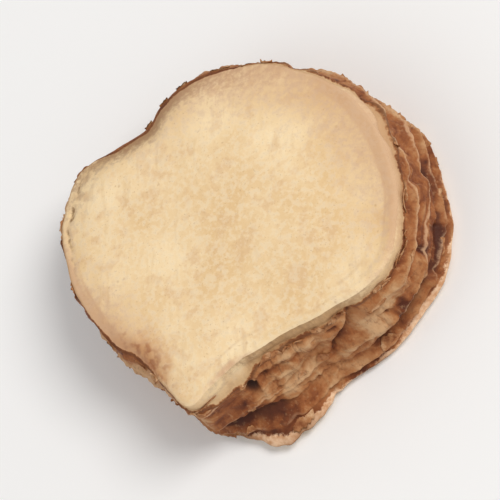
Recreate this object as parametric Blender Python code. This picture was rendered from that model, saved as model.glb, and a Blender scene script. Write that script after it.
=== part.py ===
"""A thick slice of dried white turmeric rhizome, lying on its lower cut face.

The slice is one closed body: an upper and a lower cut face of pale flesh, and the wrinkled rind round its
side, which flares out towards the lower face. It is modelled in metres with +Z up. The slice rests on
z = 0, and the origin is under the middle of its box.
"""

import math

import bmesh
import bpy
import numpy as np
from mathutils import Vector, noise

MM = 0.001
NAME = "root_slice"
COLLECTION = "dried_white_turmeric_root"

# Outlines of the two cut faces, in millimetres round a point near the middle, anticlockwise from +X
UPPER_OUTLINE_MM = [
    (11.5, 0.3), (11.0, 2.8), (10.1, 4.9), (8.4, 7.3), (6.1, 9.0), (3.1, 10.4), (-0.2, 11.0), (-3.8, 10.6),
    (-5.9, 9.1), (-7.0, 7.7), (-9.3, 6.6), (-11.9, 5.1), (-12.8, 1.8), (-12.1, -1.8), (-10.9, -4.4),
    (-8.9, -7.0), (-6.7, -8.7), (-5.1, -10.2), (-3.2, -11.9), (-1.6, -10.7), (0.7, -9.1), (3.2, -7.9),
    (6.3, -6.8), (9.0, -5.6), (11.1, -3.6),
]
LOWER_OUTLINE_MM = [
    (12.1, 0.0), (11.8, 2.4), (11.0, 4.9), (9.6, 7.1), (7.1, 9.1), (3.8, 10.6), (-0.1, 11.2), (-4.0, 10.8),
    (-6.4, 9.3), (-7.9, 7.9), (-10.2, 6.8), (-12.4, 5.2), (-13.1, 1.7), (-12.5, -2.0), (-11.2, -4.8),
    (-9.2, -7.4), (-7.1, -9.3), (-5.0, -11.1), (-2.9, -12.2), (-1.2, -12.8), (0.6, -13.2), (2.4, -12.2),
    (3.7, -10.9), (4.8, -9.7), (5.9, -8.8), (7.5, -8.1), (8.9, -7.2), (10.4, -5.6), (11.7, -3.6),
]
OUTLINE_STEPS = 24
UPPER_WANDER = 0.16 * MM
LOWER_WANDER = 0.30 * MM
WANDER_LENGTH = 2.6 * MM

# Upper cut face, with shoulders where it drops to its rim: (angle, spread, start as a share, drop)
THICKNESS = 7.0 * MM
FACE_RISE = 0.022
FACE_RISE_TOWARDS = math.radians(-40.0)
DOME = 0.40 * MM
SWAY = 0.22 * MM
SWAY_LENGTH = 9.0 * MM
SHOULDERS = (
    (128.0, 42.0, 0.72, 0.95 * MM),
    (-131.0, 15.0, 0.86, 0.50 * MM),
)
LIP_HEIGHT = 0.18 * MM
LIP_PLACE = 0.965
LIP_WIDTH = 0.030
LIP_ANGLE = math.radians(-48.0)
LIP_SPREAD = math.radians(55.0)

# Lower cut face: flat in the middle, where the slice rests, and lifted a little at its rim
REST_SHARE = 0.74
RIM_LIFT = 0.34 * MM
RIM_LIFT_CHANGE = 0.27 * MM

# Side, from level 0 at the upper rim to level 1 at the lower rim: each ring is (level, spread, height)
SIDE_BULGE = 0.18 * MM
RINGS_ROUND = (
    (0.15, 0.035, -0.15 * MM),
    (0.25, 0.055, 0.25 * MM),
    (0.40, 0.055, -0.18 * MM),
    (0.56, 0.060, 0.20 * MM),
    (0.77, 0.060, -0.52 * MM),
    (0.87, 0.035, 0.14 * MM),
    (0.92, 0.030, -0.16 * MM),
    (0.98, 0.028, 0.24 * MM),
)
RING_WANDER = 0.16
RING_OWN_WANDER = 0.10
RING_CHANGE = 1.5
RING_LENGTH = 6.5 * MM
STRONG_ANGLE = math.radians(-30.0)
STRONG_SPREAD = math.radians(80.0)
WEAK_SHARE = 0.62
STEADY_SHARE = 0.30
RELIEF_START = 0.07
RELIEF_END = 0.95
RELIEF_LEFT_AT_END = 0.3
LUMP_HEIGHT = 0.62 * MM
LUMP_LENGTH = 3.6 * MM
WRINKLE_HEIGHT = 0.36 * MM
WRINKLE_LENGTH = 1.6 * MM
WRINKLE_STRETCH = 2.6
RIDGE_LEAN = 0.45
SIDE_MEAN_RADIUS = 12.0 * MM

# Folds in the rind: (angle, level) of both ends in degrees and shares, height and half width
FOLDS = (
    (-40.0, 0.20, -58.0, 0.58, -0.55 * MM, 0.42 * MM),
    (-26.0, 0.38, -40.0, 0.46, 0.44 * MM, 0.95 * MM),
    (-63.0, 0.30, -84.0, 0.48, 0.34 * MM, 0.80 * MM),
    (-88.0, 0.75, -102.0, 0.80, -0.22 * MM, 0.50 * MM),
    (-48.0, 0.76, -80.0, 0.77, 0.38 * MM, 0.55 * MM),
    (-12.0, 0.46, 6.0, 0.60, -0.30 * MM, 0.50 * MM),
    (8.0, 0.20, 16.0, 0.66, -0.30 * MM, 0.45 * MM),
    (30.0, 0.62, 58.0, 0.50, 0.22 * MM, 0.60 * MM),
    (62.0, 0.26, 88.0, 0.30, -0.34 * MM, 0.75 * MM),
    (84.0, 0.24, 112.0, 0.42, -0.32 * MM, 0.50 * MM),
    (128.0, 0.20, 134.0, 0.80, -0.50 * MM, 0.90 * MM),
    (150.0, 0.66, 186.0, 0.48, 0.36 * MM, 0.65 * MM),
    (196.0, 0.40, 226.0, 0.62, -0.34 * MM, 0.50 * MM),
    (236.0, 0.16, 250.0, 0.66, -0.36 * MM, 0.60 * MM),
)

# Root scars: (angle, level, radius), a low collar and a moat round the stump of a rootlet
SCARS = (
    (58.0, 0.56, 0.85 * MM),
    (104.0, 0.64, 0.70 * MM),
    (163.0, 0.36, 0.95 * MM),
    (212.0, 0.50, 0.75 * MM),
)
SCAR_COLLAR = 0.26 * MM
SCAR_COLLAR_SHARE = 0.45
SCAR_MOAT = 0.30 * MM
SCAR_MOAT_PLACE = 0.62
SCAR_MOAT_SHARE = 0.28
SCAR_STUMP = 0.34 * MM
SCAR_STUMP_SHARE = 0.40

# An empty root hole near the tip: (angle, level, radius)
HOLE = (-89.0, 0.36, 0.55 * MM)
HOLE_COLLAR = 0.24 * MM
HOLE_DEPTH = 0.60 * MM
HOLE_SHARE = 0.55
HOLE_TALLNESS = 1.6

# A torn flap of rind at the lower rim: the side runs steeply down and turns out there
FLAP_ANGLE = math.radians(-83.0)
FLAP_SPREAD = math.radians(17.0)
FLAP_CURL = 1.3
FLAP_LIFT = 0.45 * MM

# Mesh rings from the middle of the upper face to the middle of the lower face
SEGMENTS = 120
UPPER_RINGS = 11
SIDE_RINGS = 24
LOWER_RINGS = 8
UPPER_CROWDING = 1.7
LOWER_CROWDING = 1.4

# Starting points of the noises, so that they differ from each other
UPPER_WANDER_SEED = 3.0
LOWER_WANDER_SEED = 5.0
RIM_LIFT_SEED = 7.0
SWAY_SEED = 11.0
RING_SHIFT_SEED = 13.0
LUMP_SEED = 23.0
WRINKLE_SEED = 29.0
RING_WANDER_SEED = 31.0
RING_CHANGE_SEED = 41.5

# Materials
FLESH_COLOUR = (0.84, 0.62, 0.36, 1.0)
FLESH_ROUGHNESS = 0.85
RIND_COLOUR = (0.27, 0.11, 0.045, 1.0)
RIND_ROUGHNESS = 0.70
SHARP_ANGLE = math.radians(45.0)


def radius_by_angle(points_mm):
    """Sample the smooth closed curve through the points as radii against angles."""
    points = np.array(points_mm) * MM
    before, after, beyond = (np.roll(points, shift, axis=0) for shift in (1, -1, -2))
    samples = []
    for step in range(OUTLINE_STEPS):
        t = step / OUTLINE_STEPS
        samples.append(
            0.5 * (
                2.0 * points
                + (after - before) * t
                + (2.0 * before - 5.0 * points + 4.0 * after - beyond) * t ** 2
                + (3.0 * points - before - 3.0 * after + beyond) * t ** 3
            )
        )
    curve = np.concatenate(samples)
    angles = np.arctan2(curve[:, 1], curve[:, 0])
    order = np.argsort(angles)
    return angles[order], np.hypot(curve[:, 0], curve[:, 1])[order]


UPPER_CURVE = radius_by_angle(UPPER_OUTLINE_MM)
LOWER_CURVE = radius_by_angle(LOWER_OUTLINE_MM)


def bell(distance, width):
    return math.exp(-((distance / width) ** 2))


def smooth_step(start, end, value):
    share = min(1.0, max(0.0, (value - start) / (end - start)))
    return share * share * (3.0 - 2.0 * share)


def turn_between(angle, other):
    """The signed angle from other to angle, between minus and plus half a turn."""
    return (angle - other + math.pi) % math.tau - math.pi


def ripple(x, y, z, length, seed):
    return noise.noise(Vector((x, y, z)) / length + Vector((seed, 0.0, 0.0)))


def side_ripple(angle, level, length, seed, stretch=1.0):
    """Noise on the side, drawn out by stretch along the height."""
    x = SIDE_MEAN_RADIUS * math.cos(angle)
    y = SIDE_MEAN_RADIUS * math.sin(angle)
    return ripple(x, y, level * THICKNESS / stretch, length, seed)


def upper_radius(angle):
    wander = UPPER_WANDER * side_ripple(angle, 0.0, WANDER_LENGTH, UPPER_WANDER_SEED)
    return float(np.interp(angle, *UPPER_CURVE, period=math.tau)) + wander


def lower_radius(angle):
    wander = LOWER_WANDER * side_ripple(angle, 1.0, WANDER_LENGTH, LOWER_WANDER_SEED)
    return float(np.interp(angle, *LOWER_CURVE, period=math.tau)) + wander


def upper_height(angle, share):
    """Height of the upper cut face at a share of the way from its middle to its rim."""
    radius = upper_radius(angle) * share
    x = radius * math.cos(angle)
    y = radius * math.sin(angle)
    rise = FACE_RISE * radius * math.cos(angle - FACE_RISE_TOWARDS)
    dome = DOME * (1.0 - share ** 2)
    sway = SWAY * ripple(x, y, 0.0, SWAY_LENGTH, SWAY_SEED)
    fall = 0.0
    for shoulder_angle, spread, start, drop in SHOULDERS:
        nearness = bell(turn_between(angle, math.radians(shoulder_angle)), math.radians(spread))
        fall += drop * nearness * smooth_step(start, 1.0, share) ** 2
    lip = LIP_HEIGHT * bell(turn_between(angle, LIP_ANGLE), LIP_SPREAD) * bell(share - LIP_PLACE, LIP_WIDTH)
    return THICKNESS + rise + dome + sway - fall + lip


def lower_height(angle, share):
    """Height of the lower cut face, which is flat out to REST_SHARE of the way to its rim."""
    lift = RIM_LIFT + RIM_LIFT_CHANGE * side_ripple(angle, 1.0, RING_LENGTH, RIM_LIFT_SEED)
    lift += FLAP_LIFT * bell(turn_between(angle, FLAP_ANGLE), FLAP_SPREAD)
    return lift * smooth_step(REST_SHARE, 1.0, share)


def fold_relief(angle, level):
    """Height of the folds at a place on the side, from its distance to each fold's line."""
    relief = 0.0
    for start_angle, start_level, end_angle, end_level, height, half_width in FOLDS:
        run = math.radians(end_angle - start_angle) * SIDE_MEAN_RADIUS
        climb = (end_level - start_level) * THICKNESS
        along = turn_between(angle, math.radians(start_angle)) * SIDE_MEAN_RADIUS
        up = (level - start_level) * THICKNESS
        share = min(1.0, max(0.0, (along * run + up * climb) / (run ** 2 + climb ** 2)))
        relief += height * bell(math.hypot(along - share * run, up - share * climb), half_width)
    return relief


def scar_distance(scar_angle, scar_level, angle, level, tallness=1.0):
    along = turn_between(angle, math.radians(scar_angle)) * SIDE_MEAN_RADIUS
    return math.hypot(along, (level - scar_level) * THICKNESS / tallness)


def scar_relief(angle, level):
    """Height of the root scars and of the root hole at a place on the side."""
    hole_angle, hole_level, radius = HOLE
    distance = scar_distance(hole_angle, hole_level, angle, level, HOLE_TALLNESS)
    relief = HOLE_COLLAR * bell(distance - radius, SCAR_COLLAR_SHARE * radius)
    relief -= HOLE_DEPTH * bell(distance, HOLE_SHARE * radius)
    for scar_angle, scar_level, radius in SCARS:
        distance = scar_distance(scar_angle, scar_level, angle, level)
        relief += SCAR_COLLAR * bell(distance - radius, SCAR_COLLAR_SHARE * radius)
        relief -= SCAR_MOAT * bell(distance - SCAR_MOAT_PLACE * radius, SCAR_MOAT_SHARE * radius)
        relief += SCAR_STUMP * bell(distance, SCAR_STUMP_SHARE * radius)
    return relief


def ring_relief(angle, level, unrest):
    """Height of the ridges and grooves that run round the side, which stray more where unrest is high."""
    shifted = level + unrest * RING_WANDER * side_ripple(angle, 0.0, RING_LENGTH, RING_SHIFT_SEED)
    relief = 0.0
    for number, (place, spread, height) in enumerate(RINGS_ROUND):
        own = unrest * RING_OWN_WANDER * side_ripple(angle, 0.0, RING_LENGTH, RING_WANDER_SEED + number)
        change = unrest * RING_CHANGE * side_ripple(angle, 0.0, RING_LENGTH, RING_CHANGE_SEED + number)
        relief += height * max(0.0, 1.0 + change) * bell(shifted + own - place, spread)
    return relief


def side_relief(angle, level):
    """How far the rind stands out at a level between the upper rim, 0, and the lower rim, 1."""
    nearness = bell(turn_between(angle, STRONG_ANGLE), STRONG_SPREAD)
    unrest = 1.0 - (1.0 - STEADY_SHARE) * nearness
    relief = SIDE_BULGE * math.sin(math.pi * level)
    relief += ring_relief(angle, level, unrest)
    relief += fold_relief(angle, level)
    relief += scar_relief(angle, level)
    relief += unrest * LUMP_HEIGHT * side_ripple(angle, level, LUMP_LENGTH, LUMP_SEED)
    wrinkles = side_ripple(angle, level, WRINKLE_LENGTH, WRINKLE_SEED, WRINKLE_STRETCH)
    relief += unrest * WRINKLE_HEIGHT * wrinkles
    relief *= WEAK_SHARE + (1.0 - WEAK_SHARE) * nearness
    fading = 1.0 - (1.0 - RELIEF_LEFT_AT_END) * smooth_step(RELIEF_END, 1.0, level)
    return relief * smooth_step(0.0, RELIEF_START, level) * fading


def side_point(angle, level):
    inner = upper_radius(angle)
    curl = 1.0 + FLAP_CURL * bell(turn_between(angle, FLAP_ANGLE), FLAP_SPREAD)
    relief = side_relief(angle, level)
    radius = inner + (lower_radius(angle) - inner) * level ** curl + relief
    top = upper_height(angle, 1.0)
    height = top + (lower_height(angle, 1.0) - top) * level - RIDGE_LEAN * relief * math.sin(math.pi * level)
    return Vector((radius * math.cos(angle), radius * math.sin(angle), height))


def face_point(angle, share, radius, height):
    reach = radius(angle) * share
    return Vector((reach * math.cos(angle), reach * math.sin(angle), height(angle, share)))


def slice_point(angle, ring):
    """The place of a mesh ring's point: over the upper face, down the side and in under the slice."""
    if ring <= UPPER_RINGS:
        share = 1.0 - (1.0 - ring / UPPER_RINGS) ** UPPER_CROWDING
        return face_point(angle, share, upper_radius, upper_height)
    if ring < UPPER_RINGS + SIDE_RINGS:
        return side_point(angle, (ring - UPPER_RINGS) / SIDE_RINGS)
    share = 1.0 - ((ring - UPPER_RINGS - SIDE_RINGS) / LOWER_RINGS) ** LOWER_CROWDING
    return face_point(angle, share, lower_radius, lower_height)


def dull_material(name, colour, roughness):
    material = bpy.data.materials.new(name)
    material.use_nodes = True
    shader = material.node_tree.nodes["Principled BSDF"]
    shader.inputs["Base Color"].default_value = colour
    shader.inputs["Roughness"].default_value = roughness
    shader.inputs["Metallic"].default_value = 0.0
    return material


def ring_number(place):
    """The mesh ring of a point on the unit sphere, counted from the top, as a fraction between rings."""
    return math.acos(max(-1.0, min(1.0, place.z))) / math.pi * (UPPER_RINGS + SIDE_RINGS + LOWER_RINGS)


def centre_over_origin(body):
    for axis in (0, 1):
        places = [vertex.co[axis] for vertex in body.verts]
        middle = 0.5 * (min(places) + max(places))
        for vertex in body.verts:
            vertex.co[axis] -= middle


def build_slice():
    """Shape a sphere's rings into the slice."""
    rings = UPPER_RINGS + SIDE_RINGS + LOWER_RINGS
    body = bmesh.new()
    bmesh.ops.create_uvsphere(body, u_segments=SEGMENTS, v_segments=rings, radius=1.0)
    for face in body.faces:
        ring = ring_number(face.calc_center_median().normalized())
        face.material_index = 1 if UPPER_RINGS < ring < UPPER_RINGS + SIDE_RINGS else 0
    for vertex in body.verts:
        angle = math.atan2(vertex.co.y, vertex.co.x)
        vertex.co = slice_point(angle, round(ring_number(vertex.co)))
    centre_over_origin(body)
    bmesh.ops.triangulate(body, faces=body.faces[:])
    mesh = bpy.data.meshes.new(NAME)
    body.to_mesh(mesh)
    body.free()
    mesh.materials.append(dull_material("cut_flesh", FLESH_COLOUR, FLESH_ROUGHNESS))
    mesh.materials.append(dull_material("dry_rind", RIND_COLOUR, RIND_ROUGHNESS))
    mesh.shade_smooth()
    mesh.set_sharp_from_angle(angle=SHARP_ANGLE)
    return bpy.data.objects.new(NAME, mesh)


def main():
    for thing in list(bpy.data.objects):
        bpy.data.objects.remove(thing, do_unlink=True)
    collection = bpy.data.collections.new(COLLECTION)
    bpy.context.scene.collection.children.link(collection)
    collection.objects.link(build_slice())


main()
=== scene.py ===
"""Looks of a thick slice of dried white turmeric rhizome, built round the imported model.

The slice's own form is worked out again by the same formulas as in its source, on a much finer mesh, with
the thin crest lines, fine wrinkles, knife marks and loose skin that the source leaves out. Lengths are in
metres, but a name that ends in MM is in millimetres. A place on the side is an angle round the slice, in
degrees from +X, and a level, which is 0 at the upper rim and 1 at the lower. A place on a cut face is an
angle and a share, which is 0 in its middle and 1 at its rim.
"""

import math
import random

import bmesh
import bpy
import numpy as np
from mathutils import Matrix, Vector, noise


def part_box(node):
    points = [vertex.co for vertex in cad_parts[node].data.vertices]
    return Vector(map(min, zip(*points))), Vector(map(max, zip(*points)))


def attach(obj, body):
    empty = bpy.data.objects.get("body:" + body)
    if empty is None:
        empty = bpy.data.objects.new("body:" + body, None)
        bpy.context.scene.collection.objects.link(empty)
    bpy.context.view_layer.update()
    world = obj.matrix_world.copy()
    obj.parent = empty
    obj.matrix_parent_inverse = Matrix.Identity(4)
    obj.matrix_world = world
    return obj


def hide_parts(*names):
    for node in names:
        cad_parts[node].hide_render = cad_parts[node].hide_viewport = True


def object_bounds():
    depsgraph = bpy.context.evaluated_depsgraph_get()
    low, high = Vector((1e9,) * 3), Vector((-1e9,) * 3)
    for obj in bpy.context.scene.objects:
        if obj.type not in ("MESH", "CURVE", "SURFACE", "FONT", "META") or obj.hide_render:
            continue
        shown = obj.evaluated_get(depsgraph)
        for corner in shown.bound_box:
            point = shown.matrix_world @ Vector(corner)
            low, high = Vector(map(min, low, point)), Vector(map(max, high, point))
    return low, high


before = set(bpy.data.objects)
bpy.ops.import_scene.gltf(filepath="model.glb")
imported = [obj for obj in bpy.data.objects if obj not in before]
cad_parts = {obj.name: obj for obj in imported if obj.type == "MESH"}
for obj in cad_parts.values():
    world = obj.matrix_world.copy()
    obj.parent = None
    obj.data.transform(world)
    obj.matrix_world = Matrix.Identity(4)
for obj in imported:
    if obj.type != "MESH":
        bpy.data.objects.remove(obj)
CAD_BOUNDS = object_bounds()

MM = 0.001
NODE = "root_slice"
BODY = "root"
SEED = 41

# Outlines of the two cut faces, in millimetres round a point near the middle, anticlockwise from +X
UPPER_OUTLINE_MM = [
    (11.5, 0.3), (11.0, 2.8), (10.1, 4.9), (8.4, 7.3), (6.1, 9.0), (3.1, 10.4), (-0.2, 11.0), (-3.8, 10.6),
    (-5.9, 9.1), (-7.0, 7.7), (-9.3, 6.6), (-11.9, 5.1), (-12.8, 1.8), (-12.1, -1.8), (-10.9, -4.4),
    (-8.9, -7.0), (-6.7, -8.7), (-5.1, -10.2), (-3.2, -11.9), (-1.6, -10.7), (0.7, -9.1), (3.2, -7.9),
    (6.3, -6.8), (9.0, -5.6), (11.1, -3.6),
]
LOWER_OUTLINE_MM = [
    (12.1, 0.0), (11.8, 2.4), (11.0, 4.9), (9.6, 7.1), (7.1, 9.1), (3.8, 10.6), (-0.1, 11.2), (-4.0, 10.8),
    (-6.4, 9.3), (-7.9, 7.9), (-10.2, 6.8), (-12.4, 5.2), (-13.1, 1.7), (-12.5, -2.0), (-11.2, -4.8),
    (-9.2, -7.4), (-7.1, -9.3), (-5.0, -11.1), (-2.9, -12.2), (-1.2, -12.8), (0.6, -13.2), (2.4, -12.2),
    (3.7, -10.9), (4.8, -9.7), (5.9, -8.8), (7.5, -8.1), (8.9, -7.2), (10.4, -5.6), (11.7, -3.6),
]
OUTLINE_STEPS = 24
UPPER_WANDER = 0.16 * MM
LOWER_WANDER = 0.3 * MM
WANDER_LENGTH = 2.6 * MM

# Upper cut face, with shoulders where it drops to its rim: (angle, spread, start as a share, drop)
THICKNESS = 7.0 * MM
FACE_RISE = 0.022
FACE_RISE_TOWARDS = math.radians(-40.0)
DOME = 0.4 * MM
SWAY = 0.22 * MM
SWAY_LENGTH = 9.0 * MM
SHOULDERS = (
    (128.0, 42.0, 0.72, 0.95 * MM),
    (-131.0, 15.0, 0.86, 0.5 * MM),
)
LIP_HEIGHT = 0.18 * MM
LIP_PLACE = 0.965
LIP_WIDTH = 0.03
LIP_ANGLE = -48.0
LIP_SPREAD = 55.0

# Lower cut face: flat in the middle, where the slice rests, and lifted a little at its rim
REST_SHARE = 0.74
RIM_LIFT = 0.34 * MM
RIM_LIFT_CHANGE = 0.27 * MM

# Side: each ring is (level, spread, height)
SIDE_BULGE = 0.18 * MM
RINGS_ROUND = (
    (0.15, 0.035, -0.15 * MM),
    (0.25, 0.055, 0.25 * MM),
    (0.4, 0.055, -0.18 * MM),
    (0.56, 0.06, 0.2 * MM),
    (0.77, 0.06, -0.52 * MM),
    (0.87, 0.035, 0.14 * MM),
    (0.92, 0.03, -0.16 * MM),
    (0.98, 0.028, 0.24 * MM),
)
RING_WANDER = 0.16
RING_OWN_WANDER = 0.1
RING_CHANGE = 1.5
RING_LENGTH = 6.5 * MM
STRONG_ANGLE = -30.0
STRONG_SPREAD = 80.0
WEAK_SHARE = 0.62
STEADY_SHARE = 0.3
RELIEF_START = 0.07
RELIEF_END = 0.95
RELIEF_LEFT_AT_END = 0.3
LUMP_HEIGHT = 0.62 * MM
LUMP_LENGTH = 3.6 * MM
WRINKLE_HEIGHT = 0.36 * MM
WRINKLE_LENGTH = 1.6 * MM
WRINKLE_STRETCH = 2.6
RIDGE_LEAN = 0.45
SIDE_MEAN_RADIUS = 12.0 * MM

# Folds in the rind: (angle, level, angle, level, height, half width), from one end to the other
FOLDS = (
    (-40.0, 0.2, -58.0, 0.58, -0.55 * MM, 0.42 * MM),
    (-26.0, 0.38, -40.0, 0.46, 0.44 * MM, 0.95 * MM),
    (-63.0, 0.3, -84.0, 0.48, 0.34 * MM, 0.8 * MM),
    (-88.0, 0.75, -102.0, 0.8, -0.22 * MM, 0.5 * MM),
    (-48.0, 0.76, -80.0, 0.77, 0.38 * MM, 0.55 * MM),
    (-12.0, 0.46, 6.0, 0.6, -0.3 * MM, 0.5 * MM),
    (8.0, 0.2, 16.0, 0.66, -0.3 * MM, 0.45 * MM),
    (30.0, 0.62, 58.0, 0.5, 0.22 * MM, 0.6 * MM),
    (62.0, 0.26, 88.0, 0.3, -0.34 * MM, 0.75 * MM),
    (84.0, 0.24, 112.0, 0.42, -0.32 * MM, 0.5 * MM),
    (128.0, 0.2, 134.0, 0.8, -0.5 * MM, 0.9 * MM),
    (150.0, 0.66, 186.0, 0.48, 0.36 * MM, 0.65 * MM),
    (196.0, 0.4, 226.0, 0.62, -0.34 * MM, 0.5 * MM),
    (236.0, 0.16, 250.0, 0.66, -0.36 * MM, 0.6 * MM),
)

# Root scars: (angle, level, radius), a low collar and a moat round the stump of a rootlet
SCARS = (
    (58.0, 0.56, 0.85 * MM),
    (104.0, 0.64, 0.7 * MM),
    (163.0, 0.36, 0.95 * MM),
    (212.0, 0.5, 0.75 * MM),
)
SCAR_COLLAR = 0.26 * MM
SCAR_COLLAR_SHARE = 0.45
SCAR_MOAT = 0.3 * MM
SCAR_MOAT_PLACE = 0.62
SCAR_MOAT_SHARE = 0.28
SCAR_STUMP = 0.34 * MM
SCAR_STUMP_SHARE = 0.4

# An empty root hole near the tip: (angle, level, radius)
HOLE = (-89.0, 0.36, 0.55 * MM)
HOLE_COLLAR = 0.24 * MM
HOLE_DEPTH = 0.6 * MM
HOLE_SHARE = 0.55
HOLE_TALLNESS = 1.6

# A torn flap at the lower rim: the side runs steeply down and turns out there
FLAP_ANGLE = -83.0
FLAP_SPREAD = 17.0
FLAP_CURL = 1.3
FLAP_LIFT = 0.45 * MM

# Where the rind starts, as (angle, millimetres below the upper rim), where it ends above the lower rim, the
# calm pale line of flesh there round LINE_ANGLE, and the step and curl at the skin's upper edge
RIND_START_MM = (
    (-150.0, -0.15), (-128.0, -0.25), (-112.0, 0.2), (-99.0, 1.6), (-91.0, 1.8), (-84.0, 1.2),
    (-60.0, 0.98), (-20.0, 0.86), (12.0, 0.72), (30.0, 1.4), (42.0, 1.15), (58.0, 0.3), (80.0, 0.1),
    (104.0, -0.32), (144.0, -0.3), (160.0, 0.25), (192.0, 0.15),
)
RIND_START_CHANGE_MM = 0.14
RIND_START_CHANGE_LENGTH = 1.3 * MM
RIND_END_MM = 0.34
RIND_END_LEAST_MM = 0.12
RIND_END_CHANGE_MM = 0.16
RIND_END_CHANGE_LENGTH = 0.7 * RIND_START_CHANGE_LENGTH
FLAP_FLESH_MM = 0.08
LINE_FLESH_MM = 0.16
LINE_ANGLE = -28.0
LINE_SPREAD = 16.0
LINE_CALM = 0.8
SKIN_STEP = 0.09 * MM
SKIN_STEP_MM = (-0.02, 0.08)
SKIN_CURL = 0.1 * MM
SKIN_CURL_PLACE_MM = 0.1
SKIN_CURL_WIDTH_MM = 0.11

# Thin raised lines along the crests of the rings, as the number of the ring and the line's strength
CREST_LINES = ((1, 1.0), (3, 0.9), (5, 0.7), (7, 0.6))
CREST_HEIGHT = 0.13 * MM
CREST_WIDTH = 0.11 * MM
CREST_WIDTH_CHANGE = 1.1
CREST_SHARPNESS = 1.5
CREST_JITTER = 0.16 * MM
CREST_JITTER_LENGTH = 0.8 * MM
CREST_BREAK_LENGTH = 3.2 * MM
CREST_BREAKS = (-0.3, 0.15)
CREST_ANGLE = 12.0
CREST_SPREAD = 38.0
CREST_KEPT = 0.8
FACET_CRESTS = 0.35

# Fine wrinkles of the photographed side: as the folds, with small heights and widths
FINE_FOLDS = (
    (-86.0, 0.25, -62.0, 0.2, 0.15 * MM, 0.13 * MM),
    (-84.0, 0.33, -66.0, 0.29, -0.16 * MM, 0.14 * MM),
    (-86.0, 0.44, -64.0, 0.37, 0.14 * MM, 0.15 * MM),
    (-82.0, 0.53, -66.0, 0.47, -0.15 * MM, 0.14 * MM),
    (-88.0, 0.64, -68.0, 0.56, 0.14 * MM, 0.16 * MM),
    (-60.0, 0.24, -46.0, 0.2, -0.14 * MM, 0.13 * MM),
    (-36.0, 0.28, -37.5, 0.56, -0.16 * MM, 0.14 * MM),
    (-33.0, 0.3, -31.0, 0.52, 0.1 * MM, 0.16 * MM),
    (-21.0, 0.34, -22.0, 0.58, -0.13 * MM, 0.14 * MM),
    (-15.0, 0.84, 3.0, 0.82, -0.32 * MM, 0.2 * MM),
    (-12.0, 0.48, -10.5, 0.64, -0.2 * MM, 0.2 * MM),
    (-40.5, 0.2, -57.5, 0.56, -0.24 * MM, 0.16 * MM),
    (-29.0, 0.32, -28.0, 0.5, -0.1 * MM, 0.12 * MM),
    (-25.0, 0.3, -25.5, 0.54, -0.12 * MM, 0.11 * MM),
)

# Small wrinkles all round, drawn at random: most run round the slice, the others along the root
SMALL_WRINKLES = 190
SMALL_LEVELS = (0.16, 0.94)
SMALL_HEIGHT = (0.05 * MM, 0.15 * MM)
SMALL_WIDTH = (0.09 * MM, 0.2 * MM)
SMALL_LENGTH_DEGREES = (3.0, 16.0)
SMALL_SLOPE = 0.1
UPRIGHT_SHARE = 0.35
UPRIGHT_TURN_DEGREES = (-2.0, 2.0)
UPRIGHT_RISE = (0.08, 0.3)
RAISED_SHARE = 0.42

# Wrinkles along the root, with rounded backs and sharp creases: (height, length round, stretch, seed)
PLEATS = (
    (0.09 * MM, 1.05 * MM, 2.4, 61.0),
    (0.04 * MM, 0.42 * MM, 3.2, 67.0),
)
PLEAT_MEAN = 0.26
CREASE_WIDTH = 0.055
STEADY_PLEATS = 0.4
CRINKLE_HEIGHT = 0.045 * MM
CRINKLE_LENGTH = 0.8 * MM
CRINKLE_NOISE = (0.9, 2.1, 3, 0.9, 2.0)
FINE_START_MM = 0.2
FINE_END_MM = 0.1

# Tones of the rind: (angle, level, spread in angle, spread in level, tone), pale over 0 and dark under 0
TONES = (
    (-35.0, 0.36, 9.0, 0.18, 0.55),
    (-39.0, 0.66, 3.5, 0.16, 0.6),
    (-28.8, 0.61, 4.6, 0.14, -2.8),
    (-33.0, 0.67, 2.4, 0.1, -1.1),
    (-41.0, 0.6, 1.6, 0.12, 1.5),
    (-10.8, 0.5, 2.4, 0.06, -1.7),
    (-4.0, 0.3, 9.0, 0.08, 1.05),
    (-3.0, 0.54, 11.0, 0.16, -0.45),
    (-72.0, 0.42, 14.0, 0.24, 0.5),
    (-64.0, 0.2, 12.0, 0.08, 0.6),
    (-60.0, 0.42, 6.0, 0.14, 0.4),
    (-57.0, 0.66, 6.0, 0.14, 0.35),
    (-80.0, 1.0, 13.0, 0.06, -0.8),
    (-54.0, 1.0, 8.0, 0.08, -1.6),
    (-103.0, 1.0, 7.0, 0.06, -1.2),
    (-106.0, 0.6, 4.0, 0.3, 0.7),
    (-133.0, 0.4, 13.0, 0.6, 0.7),
    (-61.0, 0.82, 8.0, 0.12, 0.4),
    (-98.0, 0.6, 6.0, 0.6, -0.6),
    (-88.0, 0.78, 9.0, 0.08, 0.7),
    # Painted highlight on the rind just above the root hole
    (-91.5, 0.215, 1.8, 0.03, 3.5),
    (5.0, 0.33, 3.5, 0.08, -0.4),
    (22.0, 0.22, 8.0, 0.08, 0.35),
    (27.0, 0.58, 7.0, 0.22, -0.55),
    (42.0, 0.55, 7.0, 0.3, 0.4),
    (-8.0, 0.84, 7.0, 0.05, -1.3),
    (-72.0, 0.68, 9.0, 0.12, 0.35),
    (-46.0, 0.5, 14.0, 0.4, 0.25),
)
SCAR_MOAT_SHADE = 0.45
HOLE_SHADE_SHARE = 0.9
TONE_CHANGE = 1.2
TONE_CALM = 0.5
TONE_LENGTH = 3.4 * MM

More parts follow.
